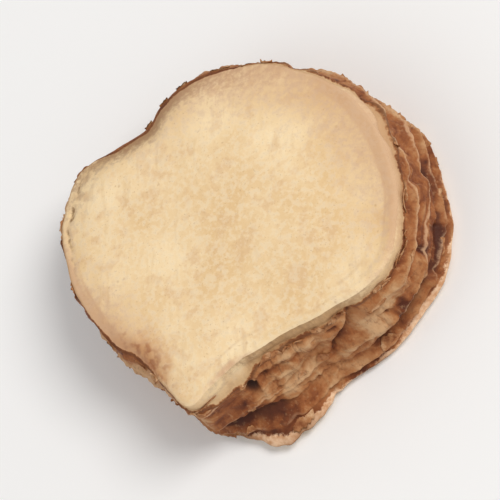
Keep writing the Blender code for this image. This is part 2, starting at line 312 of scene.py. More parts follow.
# Fine relief of the cut faces
RIM_ROUNDING = 0.05 * MM
RIM_ROUNDING_WIDTH = 0.02
CORTEX_SHARE = 0.865
CORTEX_WANDER = 0.02
CORTEX_SLUMP = 0.05 * MM
CORTEX_SLUMP_LEAD = 0.02
CORTEX_GROOVE = 0.018 * MM
CORTEX_GROOVE_WIDTH = 0.008
CORTEX_GROOVE_MEAN = 0.7
CORTEX_GROOVE_PATCH = 2.0 * MM
CORTEX_LINE_WIDTH = 0.02
PUCKER_HEIGHT = 0.024 * MM
PUCKER_LENGTH = 1.1 * MM
PUCKER_LEAD = 0.05
FINE_PUCKER_SHARE = 0.2
FINE_PUCKER_LENGTH = 0.4 * PUCKER_LENGTH
PUCKER_PATCH = 5.0 * MM
PUCKER_PATCHES = (-0.1, 0.4)
GRAIN_HEIGHT = 0.024 * MM
GRAIN_LENGTH = 0.75 * MM
PORE_SPACING = 0.95 * MM
KNIFE_HEIGHT = 0.014 * MM
KNIFE_SPACING = 0.66 * MM
KNIFE_SWAY_LENGTH = 3.0 * MM
KNIFE_PATCH = 4.0 * MM
KNIFE_ANGLE = math.radians(24.0)
RIM_CHIP = 0.035 * MM
RIM_CHIP_LENGTH = 0.6 * MM
FLAP_RAGGED = 0.42 * MM
FLAP_RAGGED_LENGTH = 0.7 * MM

# A crack in the flesh beside the left rim
CRACK_SHARE = 0.958
CRACK_ANGLE = 171.0
CRACK_SPREAD = 15.0
CRACK_WIDTH = 0.011
CRACK_JITTER = 0.026
CRACK_JITTER_LENGTH = 0.55 * MM
CRACK_DEPTH = 0.16 * MM
CRACK_BREAK_LENGTH = 0.9 * MM
CRACK_BREAKS = (-0.45, 0.1)

# A brown stain of the flesh left of the lowest tip, and painted shade at the upper left
STAIN_ANGLE = -131.0
STAIN_SPREAD = 19.0
STAIN_START = 0.74
SHADE_ANGLE = 128.0
SHADE_SPREAD = 36.0
SHADE_START = 0.78

# Painted shade on the cut wall of flesh above the rind at the lower right, and a painted highlight in it
# beside the root hole, where that shade is left out: (angle, level, spread in angle, spread in level,
# strength)
FACET_ANGLE = -62.0
FACET_SPREAD = 28.0
HOLE_HIGHLIGHT = (-91.5, 0.16, 3.0, 0.06, 1.2)

# Tan bands along the rim of the upper face: (angle, spread, strength)
TAN_BANDS = (
    (18.0, 36.0, 1.0),
    (-160.0, 26.0, 0.9),
)
TAN_START = 0.915
TAN_LINE_SHARE = 0.93
TAN_LINE_WIDTH = 0.01
TAN_LINE_STRENGTH = 0.35

# Stretches of painted shade on the upper face, added to the tan, which darken it to its rim: (angle,
# spread, start, strength)
FACE_SHADES = (
    (-93.0, 8.0, 0.925, 0.75),
    (25.0, 42.0, 0.45, 0.62),
    (95.0, 42.0, 0.45, 0.62),
    (-148.0, 24.0, 0.55, 0.55),
)
FACE_SHADE_END = 0.99

# Flakes of skin that have come loose along one edge, drawn at random on the crests and at the skin's edges.
# On the lower rim none is within FLAKELESS_SPREADS of the calm pale line.
FLAKES = 90
FLAKE_KINDS = ("crest", "crest", "skin edge", "skin edge", "lower rim")
FLAKE_CRESTS = (1, 3, 5)
FLAKELESS_SPREADS = 2.0
FLAKE_LENGTH = (0.5 * MM, 1.7 * MM)
FLAKE_WIDTH = (0.18 * MM, 0.5 * MM)
FLAKE_LIFT = (0.05 * MM, 0.2 * MM)
FLAKE_THICKNESS = 0.035 * MM
FLAKE_SINK = 0.045 * MM
FLAKE_SLOPE = 0.12
FLAKE_RAGGED = 0.55
FLAKE_RAGGED_LENGTH = 0.22 * MM
FLAKE_END_SHARE = 0.04
FLAKE_BELOW_EDGE_MM = 0.25
FLAKE_ABOVE_RIM_MM = 0.15
FLAKE_CELLS = (10, 4)

# Mesh rings from the middle of the upper face to the middle of the lower face
SEGMENTS = 600
UPPER_RINGS = 48
SIDE_RINGS = 100
LOWER_RINGS = 16
RINGS = UPPER_RINGS + SIDE_RINGS + LOWER_RINGS
UPPER_CROWDING = 1.6
LOWER_CROWDING = 1.4

# Depths that put a place far above the rind's start, far outside the lip of flesh, and well inside the lip
NO_RIND_MM = -9.0
NO_LIP_MM = -9.0
IN_LIP_MM = 1.0

# Seeds of the noises
UPPER_WANDER_SEED = 3.0
LOWER_WANDER_SEED = 5.0
RIM_LIFT_SEED = 7.0
SWAY_SEED = 11.0
RING_SHIFT_SEED = 13.0
LUMP_SEED = 23.0
WRINKLE_SEED = 29.0
RING_WANDER_SEED = 31.0
RING_CHANGE_SEED = 41.5
KNIFE_SWAY_SEED = 1.0
KNIFE_PATCH_SEED = 2.0
GRAIN_SEED = 3.0
CORTEX_GROOVE_SEED = 5.0
PUCKER_SEED = 6.0
FINE_PUCKER_SEED = 7.0
PUCKER_PATCH_SEED = 8.0
FLAP_SEED = 9.0
CORTEX_SEED = 51.0
CRACK_SEED = 52.0
CRACK_BREAK_SEED = 53.0
TONE_SEED = 73.0
RIND_START_SEED = 81.0
RIND_END_SEED = 83.0
CREST_JITTER_SEED = 90.0
CREST_BREAK_SEED = 95.0
CREST_WIDTH_SEED = 98.0
FLAKE_SEED = 100.0

# Colours of the flesh, from its clear middle to its stains, and the painted shade and painted highlight
# near its rim
CREAM_DARK = (0.82, 0.57, 0.3)
CREAM_LIGHT = (0.965, 0.75, 0.46)
STARCH = (0.98, 0.82, 0.57)
# Painted highlight along the rim of the upper face
RIM_HIGHLIGHT = (0.95, 0.76, 0.5)
BLOTCH = (0.72, 0.47, 0.26)
FIBRE = (0.68, 0.45, 0.22)
STREAK = (0.62, 0.38, 0.19)
CORTEX_LINE = (0.6, 0.38, 0.2)
SPECK = (0.56, 0.36, 0.19)
PORE = (0.55, 0.34, 0.17)
# Tan of the rim bands, also used for the painted shade of the upper face
TAN_AND_SHADE = (0.6, 0.345, 0.2)
WALL_BROWN_AND_SHADE = (0.48, 0.27, 0.12)
FACET_SHADE_LIGHT = (0.54, 0.315, 0.145)
FACET_SHADE_DARK = (0.33, 0.17, 0.07)
STAIN = (0.6, 0.29, 0.12)
STAIN_SPOT = (0.37, 0.13, 0.05)
# Painted shade at the upper left of the upper face
SHADE = (0.33, 0.175, 0.08)
# Painted shade in the crack
CRACK_SHADE = (0.23, 0.12, 0.045)

# Colours of the rind and its loose skin, and of the flesh along the lower rim, as (place, colour) in ramps
RIND_RAMP = (
    (0.26, (0.085, 0.018, 0.005)), (0.42, (0.205, 0.055, 0.014)), (0.56, (0.335, 0.112, 0.032)),
    (0.7, (0.44, 0.196, 0.075)), (0.86, (0.6, 0.355, 0.18)),
)
SKIN_RAMP = ((0.34, (0.23, 0.072, 0.022)), (0.5, (0.43, 0.19, 0.075)), (0.66, (0.68, 0.43, 0.24)))
LIP_RAMP = ((0.35, (0.62, 0.32, 0.16)), (0.6, (0.86, 0.58, 0.37)))
LIP_DULL = (0.3, 0.125, 0.05)
STRIA_DARK = (0.13, 0.036, 0.012)
STRIA_LIGHT = (0.58, 0.33, 0.16)
CREST = (0.64, 0.385, 0.22)
# Painted shade in the rind's creases, grooves, root hole and scar moats, and a painted shadow under the
# skin's upper edge
CREASE_SHADE = (0.075, 0.02, 0.008)
GROOVE_SHADE = (0.072, 0.016, 0.006)
PIT_SHADE = (0.04, 0.012, 0.005)
SKIN_EDGE_SHADOW = (0.12, 0.04, 0.014)

# Roughness, gloss and fine grain of the flesh, the rind and the loose skin
FLESH_ROUGHNESS = 0.88
RIND_ROUGHNESS = 0.6
SKIN_ROUGHNESS = 0.65
SPECULAR = 0.25
GRAIN_DEPTH = 0.035 * MM
SKIN_GRAIN_DEPTH = 0.02 * MM

# Camera, floor and lights, each lamp as (azimuth, elevation, size, watts, colour)
VIEW_AZIMUTH = math.radians(55.0)
VIEW_ELEVATION = math.radians(60.0)
VIEW_LENS = 400.0
VIEW_SENSOR = 36.0
VIEW_WIDTH = 32.5 * MM
VIEW_CLIP = (0.01, 10.0)
KEY_LAMP = (108.0, 50.0, 0.3, 2.0, (1.0, 0.98, 0.95))
FILL_LAMP = (-40.0, 45.0, 0.5, 0.4, (1.0, 1.0, 1.0))
LAMP_DISTANCE = 0.6
FLOOR_SIZE = 3.0
FLOOR_COLOUR = (0.93, 0.93, 0.93, 1.0)
FLOOR_ROUGHNESS = 0.9
WORLD_COLOUR = (1.0, 0.99, 0.98, 1.0)
WORLD_STRENGTH = 0.5

ANGLES = np.arange(SEGMENTS) * math.tau / SEGMENTS
SIDE_X = SIDE_MEAN_RADIUS * np.cos(ANGLES)
SIDE_Y = SIDE_MEAN_RADIUS * np.sin(ANGLES)


def bell(distance, width):
    return np.exp(-((distance / width) ** 2))


def smooth_step(start, end, value):
    share = np.clip((value - start) / (end - start), 0.0, 1.0)
    return share * share * (3.0 - 2.0 * share)


def turn_between(angle, other):
    """The signed angle from other to angle, between minus and plus half a turn."""
    return (angle - other + math.pi) % math.tau - math.pi


def nearness(angle, spread):
    """1 at an angle round the slice, falling off over spread, both in degrees."""
    return bell(turn_between(ANGLES, math.radians(angle)), math.radians(spread))


def ripple(x, y, z, length, seed):
    """Smooth noise at every point of the arrays, with waves about length long."""
    places = np.stack(np.broadcast_arrays(x, y, z), axis=-1) / length
    places[..., 0] += seed
    values = [noise.noise(place) for place in places.reshape(-1, 3).tolist()]
    return np.array(values).reshape(places.shape[:-1])


def side_ripple(level, length, seed, stretch=1.0):
    """Noise on the side, drawn out by stretch along the height."""
    return ripple(SIDE_X, SIDE_Y, level * THICKNESS / stretch, length, seed)


def outline_radius(points_mm, level, wander, seed):
    """Radius at each angle of the smooth closed curve through the points, with a wander and small chips."""
    points = np.array(points_mm) * MM
    before, after, beyond = (np.roll(points, shift, axis=0) for shift in (1, -1, -2))
    samples = []
    for step in range(OUTLINE_STEPS):
        t = step / OUTLINE_STEPS
        samples.append(
            0.5 * (
                2.0 * points
                + (after - before) * t
                + (2.0 * before - 5.0 * points + 4.0 * after - beyond) * t ** 2
                + (3.0 * points - before - 3.0 * after + beyond) * t ** 3
            )
        )
    curve = np.concatenate(samples)
    bearings = np.arctan2(curve[:, 1], curve[:, 0])
    order = np.argsort(bearings)
    radii = np.hypot(curve[:, 0], curve[:, 1])
    radius = np.interp(ANGLES, bearings[order], radii[order], period=math.tau)
    chips = RIM_CHIP * side_ripple(level, RIM_CHIP_LENGTH, seed + 1.0)
    return radius + wander * side_ripple(level, WANDER_LENGTH, seed) + chips


UPPER_RADIUS = outline_radius(UPPER_OUTLINE_MM, 0.0, UPPER_WANDER, UPPER_WANDER_SEED)
LOWER_RADIUS = outline_radius(LOWER_OUTLINE_MM, 1.0, LOWER_WANDER, LOWER_WANDER_SEED)
FLAP_SHARE = nearness(FLAP_ANGLE, FLAP_SPREAD)
LOWER_RADIUS += FLAP_RAGGED * FLAP_SHARE * side_ripple(1.0, FLAP_RAGGED_LENGTH, FLAP_SEED)
STAIN_SHARE = nearness(STAIN_ANGLE, STAIN_SPREAD)
SHADE_SHARE = nearness(SHADE_ANGLE, SHADE_SPREAD)
FACET_SHARE = nearness(FACET_ANGLE, FACET_SPREAD)
TAN_SHARE = sum(strength * nearness(angle, spread) for angle, spread, strength in TAN_BANDS)
CORTEX_PLACE = CORTEX_SHARE + CORTEX_WANDER * side_ripple(0.0, RING_LENGTH, CORTEX_SEED)
CRACK_PLACE = CRACK_SHARE + CRACK_JITTER * side_ripple(0.0, CRACK_JITTER_LENGTH, CRACK_SEED)


def crack_strength(share):
    """The dark crack beside the left rim, broken into stretches."""
    breaks = smooth_step(*CRACK_BREAKS, side_ripple(0.0, CRACK_BREAK_LENGTH, CRACK_BREAK_SEED))
    return bell(share - CRACK_PLACE, CRACK_WIDTH) * nearness(CRACK_ANGLE, CRACK_SPREAD) * breaks


def cut_grain(x, y, share, layer):
    """Fine relief of a cut face: starchy grain, knife marks, the sunken cortex and its radial puckers.

    The layer is where the noises are read, so that the two faces differ.
    """
    across = x * math.cos(KNIFE_ANGLE) + y * math.sin(KNIFE_ANGLE)
    across = across + KNIFE_SPACING * ripple(x, y, layer, KNIFE_SWAY_LENGTH, KNIFE_SWAY_SEED)
    relief = KNIFE_HEIGHT * np.sin(math.tau * across / KNIFE_SPACING)
    relief *= ripple(x, y, layer, KNIFE_PATCH, KNIFE_PATCH_SEED)
    relief += GRAIN_HEIGHT * ripple(x, y, layer, GRAIN_LENGTH, GRAIN_SEED)
    relief -= CORTEX_SLUMP * smooth_step(CORTEX_PLACE - CORTEX_SLUMP_LEAD, 1.0, share)
    groove_change = CORTEX_GROOVE_MEAN + ripple(x, y, layer, CORTEX_GROOVE_PATCH, CORTEX_GROOVE_SEED)
    relief -= CORTEX_GROOVE * bell(share - CORTEX_PLACE, CORTEX_GROOVE_WIDTH) * groove_change
    pucker = side_ripple(layer, PUCKER_LENGTH, PUCKER_SEED)
    pucker += FINE_PUCKER_SHARE * side_ripple(layer, FINE_PUCKER_LENGTH, FINE_PUCKER_SEED)
    pucker *= smooth_step(*PUCKER_PATCHES, side_ripple(layer, PUCKER_PATCH, PUCKER_PATCH_SEED))
    return relief + PUCKER_HEIGHT * pucker * smooth_step(CORTEX_PLACE - PUCKER_LEAD, 1.0, share)


def upper_height(share):
    """Height of the upper cut face at a share of the way from its middle to its rim."""
    radius = UPPER_RADIUS * share
    x = radius * np.cos(ANGLES)
    y = radius * np.sin(ANGLES)
    height = THICKNESS + FACE_RISE * radius * np.cos(ANGLES - FACE_RISE_TOWARDS)
    height += DOME * (1.0 - share ** 2)
    height += SWAY * ripple(x, y, 0.0, SWAY_LENGTH, SWAY_SEED)
    for angle, spread, start, drop in SHOULDERS:
        shoulder = drop * nearness(angle, spread)
        height -= shoulder * smooth_step(start, 1.0, share) ** 2
    height += LIP_HEIGHT * nearness(LIP_ANGLE, LIP_SPREAD) * bell(share - LIP_PLACE, LIP_WIDTH)
    height -= RIM_ROUNDING * smooth_step(1.0 - RIM_ROUNDING_WIDTH, 1.0, share) ** 2
    height -= CRACK_DEPTH * crack_strength(share)
    return height + cut_grain(x, y, share, 0.0)


def lower_height(share):
    """Height of the lower cut face, which is flat out to REST_SHARE of the way to its rim."""
    lift = RIM_LIFT + RIM_LIFT_CHANGE * side_ripple(1.0, RING_LENGTH, RIM_LIFT_SEED)
    lift = lift + FLAP_LIFT * FLAP_SHARE
    radius = LOWER_RADIUS * share
    lift = lift + cut_grain(radius * np.cos(ANGLES), radius * np.sin(ANGLES), share, 0.5)
    return np.maximum(0.0, lift) * smooth_step(REST_SHARE, 1.0, share)


def fold_relief(folds, level):
    """Height of the folds at each place on the side, from its distance to each fold's line."""
    relief = np.zeros(np.broadcast_shapes(level.shape, ANGLES.shape))
    for start_angle, start_level, end_angle, end_level, height, half_width in folds:
        run = math.radians(end_angle - start_angle) * SIDE_MEAN_RADIUS
        climb = (end_level - start_level) * THICKNESS
        along = turn_between(ANGLES, math.radians(start_angle)) * SIDE_MEAN_RADIUS
        up = (level - start_level) * THICKNESS
        share = np.clip((along * run + up * climb) / (run ** 2 + climb ** 2), 0.0, 1.0)
        relief += height * bell(np.hypot(along - share * run, up - share * climb), half_width)
    return relief


def scar_distance(angle, scar_level, level, tallness=1.0):
    along = turn_between(ANGLES, math.radians(angle)) * SIDE_MEAN_RADIUS
    return np.hypot(along, (level - scar_level) * THICKNESS / tallness)


def scar_relief(level):
    """Height of the root scars and of the root hole at each place on the side."""
    angle, scar_level, radius = HOLE
    distance = scar_distance(angle, scar_level, level, HOLE_TALLNESS)
    relief = HOLE_COLLAR * bell(distance - radius, SCAR_COLLAR_SHARE * radius)
    relief = relief - HOLE_DEPTH * bell(distance, HOLE_SHARE * radius)
    for angle, scar_level, radius in SCARS:
        distance = scar_distance(angle, scar_level, level)
        relief = relief + SCAR_COLLAR * bell(distance - radius, SCAR_COLLAR_SHARE * radius)
        relief = relief - SCAR_MOAT * bell(distance - SCAR_MOAT_PLACE * radius, SCAR_MOAT_SHARE * radius)
        relief = relief + SCAR_STUMP * bell(distance, SCAR_STUMP_SHARE * radius)
    return relief


STRENGTH = nearness(STRONG_ANGLE, STRONG_SPREAD)
UNREST = 1.0 - (1.0 - STEADY_SHARE) * STRENGTH
PLEAT_SHARE = 1.0 - (1.0 - STEADY_PLEATS) * STRENGTH
RING_SHIFT = UNREST * RING_WANDER * side_ripple(0.0, RING_LENGTH, RING_SHIFT_SEED)


def ring_track(number):
    """The level at which a ring runs, at each angle."""
    own = UNREST * RING_OWN_WANDER * side_ripple(0.0, RING_LENGTH, RING_WANDER_SEED + number)
    return RINGS_ROUND[number][0] - RING_SHIFT - own


def ring_growth(number):
    """How much of its height a ring has, at each angle."""
    change = UNREST * RING_CHANGE * side_ripple(0.0, RING_LENGTH, RING_CHANGE_SEED + number)
    return np.maximum(0.0, 1.0 + change)


def ring_relief(level):
    """Height of the ridges and grooves that run round the side, which stray more where UNREST is high."""
    relief = 0.0
    for number, (_, spread, height) in enumerate(RINGS_ROUND):
        relief = relief + height * ring_growth(number) * bell(level - ring_track(number), spread)
    return relief


def side_relief(level):
    """How far the rind stands out at a level between the upper rim, 0, and the lower rim, 1."""
    relief = SIDE_BULGE * np.sin(math.pi * level) + ring_relief(level)
    relief += fold_relief(FOLDS, level)
    relief += scar_relief(level)
    relief += UNREST * LUMP_HEIGHT * side_ripple(level, LUMP_LENGTH, LUMP_SEED)
    relief += UNREST * WRINKLE_HEIGHT * side_ripple(level, WRINKLE_LENGTH, WRINKLE_SEED, WRINKLE_STRETCH)
    relief *= WEAK_SHARE + (1.0 - WEAK_SHARE) * STRENGTH
    fading = 1.0 - (1.0 - RELIEF_LEFT_AT_END) * smooth_step(RELIEF_END, 1.0, level)
    return relief * smooth_step(0.0, RELIEF_START, level) * fading


def crest_lines(level):
    """Strength of the thin raised lines along the ring crests, from 0 to 1."""
    lines = 0.0
    faint = 1.0 - (1.0 - FACET_CRESTS) * FACET_SHARE
    kept = CREST_KEPT * nearness(CREST_ANGLE, CREST_SPREAD)
    for number, strength in CREST_LINES:
        jitter = CREST_JITTER * side_ripple(0.0, CREST_JITTER_LENGTH, CREST_JITTER_SEED + number)
        distance = np.abs((level - ring_track(number)) * THICKNESS + jitter)
        change = side_ripple(0.0, CREST_BREAK_LENGTH, CREST_WIDTH_SEED + number)
        width = CREST_WIDTH * (1.0 + CREST_WIDTH_CHANGE * change)
        line = np.exp(-((distance / width) ** CREST_SHARPNESS))
        breaks = side_ripple(0.0, CREST_BREAK_LENGTH, CREST_BREAK_SEED + number)
        whole = np.maximum(smooth_step(*CREST_BREAKS, breaks), kept)
        lines = np.maximum(lines, strength * whole * faint * line)
    return lines


def small_wrinkles():
    """Draw the small wrinkles all round at random, as folds."""
    draw = random.Random(SEED)
    folds = []
    for _ in range(SMALL_WRINKLES):
        angle = draw.uniform(0.0, 360.0)
        level = draw.uniform(*SMALL_LEVELS)
        if draw.random() < UPRIGHT_SHARE:
            turn = draw.uniform(*UPRIGHT_TURN_DEGREES)
            rise = draw.uniform(*UPRIGHT_RISE)
        else:
            turn = draw.uniform(*SMALL_LENGTH_DEGREES)
            rise = draw.uniform(-SMALL_SLOPE, SMALL_SLOPE)
        sign = 1.0 if draw.random() < RAISED_SHARE else -1.0
        folds.append((
            angle, level, angle + turn, level + rise, sign * draw.uniform(*SMALL_HEIGHT),
            draw.uniform(*SMALL_WIDTH),
        ))
    return folds


def pleats(level):
    """Relief of the wrinkles along the root, and the strength of their sharp creases from 0 to 1."""
    relief = 0.0
    creases = 0.0
    for height, length, stretch, seed in PLEATS:
        wave = np.abs(side_ripple(level, length, seed, stretch))
        relief = relief + PLEAT_SHARE * height * (wave / PLEAT_MEAN - 1.0)
        creases = np.maximum(creases, PLEAT_SHARE * bell(wave, CREASE_WIDTH) * height / PLEATS[0][0])
    return relief, creases


def crinkle(level):
    """Fine irregular relief of the dried rind."""
    places = np.stack(np.broadcast_arrays(SIDE_X, SIDE_Y, level * THICKNESS), axis=-1) / CRINKLE_LENGTH
    ridges = [noise.ridged_multi_fractal(place, *CRINKLE_NOISE) for place in places.reshape(-1, 3).tolist()]
    return CRINKLE_HEIGHT * (np.array(ridges).reshape(places.shape[:-1]) - 1.0)


def rind_start():
    """How far below the upper rim the rind starts at each angle, in millimetres."""
    angles = [math.radians(angle) for angle, _ in RIND_START_MM]
    starts = [start for _, start in RIND_START_MM]
    chips = RIND_START_CHANGE_MM * side_ripple(0.0, RIND_START_CHANGE_LENGTH, RIND_START_SEED)
    return np.interp(ANGLES, angles, starts, period=math.tau) + chips


def rind_end():
    """How far above the lower rim the rind ends at each angle, in millimetres."""
    line = nearness(LINE_ANGLE, LINE_SPREAD)
    chips = RIND_END_CHANGE_MM * side_ripple(1.0, RIND_END_CHANGE_LENGTH, RIND_END_SEED)
    chips *= 1.0 - LINE_CALM * line
    end = RIND_END_MM + FLAP_FLESH_MM * FLAP_SHARE + LINE_FLESH_MM * line + chips
    return np.maximum(RIND_END_LEAST_MM, end)


def tones(level):
    """How pale, over 0, or dark, under 0, the rind is."""
    tone = TONE_CHANGE * side_ripple(level, TONE_LENGTH, TONE_SEED)
    tone *= 1.0 - TONE_CALM * STRENGTH
    for angle, place, spread, level_spread, amount in TONES:
        tone += amount * nearness(angle, spread) * bell(level - place, level_spread)
    return tone


def hole_shade(level):
    """Strength of the painted shade: 1 in the root hole, and less in the moats of the root scars."""
    angle, scar_level, radius = HOLE
    shade = bell(scar_distance(angle, scar_level, level, HOLE_TALLNESS), HOLE_SHADE_SHARE * radius)
    for angle, scar_level, radius in SCARS:
        distance = scar_distance(angle, scar_level, level)
        moat = bell(distance - SCAR_MOAT_PLACE * radius, SCAR_MOAT_SHARE * radius)
        shade = np.maximum(shade, SCAR_MOAT_SHADE * moat)
    return shade


def face_rows(shares, radius, height):
    """Points of a cut face at each share of the way to its rim, and what their material needs."""
    reach = radius * shares
    below = -(1.0 - shares) * radius / MM - rind_start()
    stain = STAIN_SHARE * smooth_step(STAIN_START, 1.0, shares)
    shade = SHADE_SHARE * smooth_step(SHADE_START, 1.0, shares)
    tan = TAN_SHARE * smooth_step(TAN_START, 1.0, shares)
    tan += TAN_LINE_STRENGTH * TAN_SHARE * bell(shares - TAN_LINE_SHARE, TAN_LINE_WIDTH)
    # Painted shade towards the rim of the upper face, carried with the tan
    for angle, spread, start, strength in FACE_SHADES:
        tan += strength * nearness(angle, spread) * smooth_step(start, FACE_SHADE_END, shares)
    return {
        "reach": reach, "height": height(shares), "share": shares, "level": 0.0, "below": below,
        "lip": NO_LIP_MM, "relief": 0.0, "fine": 0.0, "crest": 0.0, "crease": 0.0, "tone": 0.0, "pit_shade": 0.0,
        "stain": stain, "shade": shade, "tan": tan, "crack": crack_strength(shares), "facet": 0.0,
    }


def side_rows(levels):
    """Points of the side at each level, and what their material needs."""
    relief = side_relief(levels)
    wrinkles, creases = pleats(levels)
    crests = crest_lines(levels)
    started = smooth_step(0.0, RELIEF_START, levels)
    below = levels * THICKNESS / MM - rind_start()
    lip = rind_end() - (1.0 - levels) * THICKNESS / MM
    on_rind = smooth_step(0.0, FINE_START_MM, below) * smooth_step(FINE_END_MM, -FINE_END_MM, lip)
    fine = wrinkles + crinkle(levels) + fold_relief(list(FINE_FOLDS) + small_wrinkles(), levels)
    fine = fine * on_rind * started + CREST_HEIGHT * crests * on_rind
    curl = SKIN_CURL * bell(below - SKIN_CURL_PLACE_MM, SKIN_CURL_WIDTH_MM)
    fine += (SKIN_STEP * smooth_step(*SKIN_STEP_MM, below) + curl) * started
    flare = LOWER_RADIUS - UPPER_RADIUS
    reach = UPPER_RADIUS + flare * levels ** (1.0 + FLAP_CURL * FLAP_SHARE) + relief + fine
    top = upper_height(1.0)
    height = top + (lower_height(np.array([[1.0]])) - top) * levels
    height -= RIDGE_LEAN * relief * np.sin(math.pi * levels)
    # A painted highlight beside the root hole: the wall's painted shade is left out there
    angle, place, spread, level_spread, strength = HOLE_HIGHLIGHT
    spot = strength * nearness(angle, spread) * bell(levels - place, level_spread)
    return {
        "reach": reach, "height": height, "share": 1.0, "level": levels, "below": below, "lip": lip,
        "relief": relief / MM, "fine": fine / MM, "crest": crests, "crease": creases, "tone": tones(levels),
        "pit_shade": hole_shade(levels), "stain": STAIN_SHARE, "shade": SHADE_SHARE, "tan": TAN_SHARE,
        "crack": 0.0, "facet": FACET_SHARE * (1.0 - spot),
    }


def slice_rows():
    """All the mesh's rings, from the middle of the upper face over the side to the middle of the lower."""
    upper_shares = 1.0 - (1.0 - np.arange(UPPER_RINGS + 1) / UPPER_RINGS) ** UPPER_CROWDING
    levels = np.arange(1, SIDE_RINGS + 1) / SIDE_RINGS
    lower_shares = 1.0 - (np.arange(1, LOWER_RINGS + 1) / LOWER_RINGS) ** LOWER_CROWDING
    blocks = (
        face_rows(upper_shares[:, None], UPPER_RADIUS, upper_height),
        side_rows(levels[:, None]),
        face_rows(lower_shares[:, None], LOWER_RADIUS, lower_height),
    )
    blocks[2].update(level=1.0, below=NO_RIND_MM, lip=IN_LIP_MM, stain=0.0, shade=0.0, tan=0.0, crack=0.0)
    counts = (UPPER_RINGS + 1, SIDE_RINGS, LOWER_RINGS)
    rows = {}
    for name in blocks[0]:
        parts = [np.broadcast_to(block[name], (count, SEGMENTS)) for block, count in zip(blocks, counts)]
        rows[name] = np.concatenate(parts)
    reach = rows.pop("reach")
    rows["x"] = reach * np.cos(ANGLES)
    rows["y"] = reach * np.sin(ANGLES)
    rows["z"] = rows.pop("height")
    low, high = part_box(NODE)
    for axis, name in enumerate("xy"):
        middle = 0.5 * (rows[name].min() + rows[name].max())
        rows[name] = rows[name] + 0.5 * (low[axis] + high[axis]) - middle
    return rows


def rolled_faces():
    """Faces between neighbouring rings, closed by a fan round the middle of each cut face."""
    ring, segment = np.mgrid[0:RINGS - 2, 0:SEGMENTS]
    beside = (segment + 1) % SEGMENTS
    corners = (ring * SEGMENTS + segment, (ring + 1) * SEGMENTS + segment,
               (ring + 1) * SEGMENTS + beside, ring * SEGMENTS + beside)
    quads = np.stack(corners, axis=-1).reshape(-1, 4).tolist()
    top = (RINGS - 1) * SEGMENTS
    last = (RINGS - 2) * SEGMENTS
    fans = []
    for here in range(SEGMENTS):
        there = (here + 1) % SEGMENTS
        fans.append((top, here, there))
        fans.append((top + 1, last + there, last + here))
    return quads + fans


def row_values(values):
    """The values of one row quantity at every mesh point: the inner rings, then both middle points."""
    return np.concatenate((values[1:-1].ravel(), values[0, :1], values[-1, :1]))


def add_object(name, data):
    """Put a mesh, a lamp or a camera in the scene."""
    thing = bpy.data.objects.new(name, data)
    bpy.context.scene.collection.objects.link(thing)
    return thing


def build_slice(rows):
    """Make the slice's closed mesh from its rings, with the quantities that its material reads."""
    points = np.stack([row_values(rows[name]) for name in "xyz"], axis=1)
    mesh = bpy.data.meshes.new("slice_body")
    mesh.from_pydata(points.tolist(), [], rolled_faces())
    for name, values in rows.items():
        if name not in "xyz":
            layer = mesh.attributes.new(name, "FLOAT", "POINT")
            layer.data.foreach_set("value", row_values(values))
    turns = np.broadcast_to(ANGLES, rows["x"].shape)
    depth = rows["share"] + rows["level"]
    around = np.stack([row_values(values) for values in (np.cos(turns), np.sin(turns), depth)], axis=1)
    layer = mesh.attributes.new("around", "FLOAT_VECTOR", "POINT")
    layer.data.foreach_set("vector", around.ravel())
    mesh.shade_smooth()
    return add_object("slice_body", mesh)


def on_side(side, angles, levels):
    """Points of the side at arrays of angles and levels, read between its mesh points."""
    column = angles / math.tau * SEGMENTS
    row = np.clip(levels, 0.0, 0.999) * SIDE_RINGS
    left = np.floor(column).astype(int)
    above = np.floor(row).astype(int)
    across = (column - left)[..., None]
    down = (row - above)[..., None]
    left, right = left % SEGMENTS, (left + 1) % SEGMENTS
    upper = side[above, left] * (1.0 - across) + side[above, right] * across
    lower = side[above + 1, left] * (1.0 - across) + side[above + 1, right] * across
    return upper * (1.0 - down) + lower * down


def flake_spot(draw):
    """Draw where a flake is rooted, as an angle and a level, and which way its free edge points."""
    angle = draw.uniform(0.0, math.tau)
    segment = int(angle / math.tau * SEGMENTS)
    kind = draw.choice(FLAKE_KINDS)
    from_line = math.degrees(abs(turn_between(angle, math.radians(LINE_ANGLE))))
    if kind == "lower rim" and from_line < FLAKELESS_SPREADS * LINE_SPREAD:
        kind = "skin edge"
    if kind == "skin edge":
        return angle, (rind_start()[segment] + FLAKE_BELOW_EDGE_MM) * MM / THICKNESS, -1.0
    if kind == "lower rim":
        return angle, 1.0 - (rind_end()[segment] + FLAKE_ABOVE_RIM_MM) * MM / THICKNESS, 1.0
    crest = draw.choice(FLAKE_CRESTS)
    return angle, ring_track(crest)[segment], draw.choice((-1.0, 1.0))


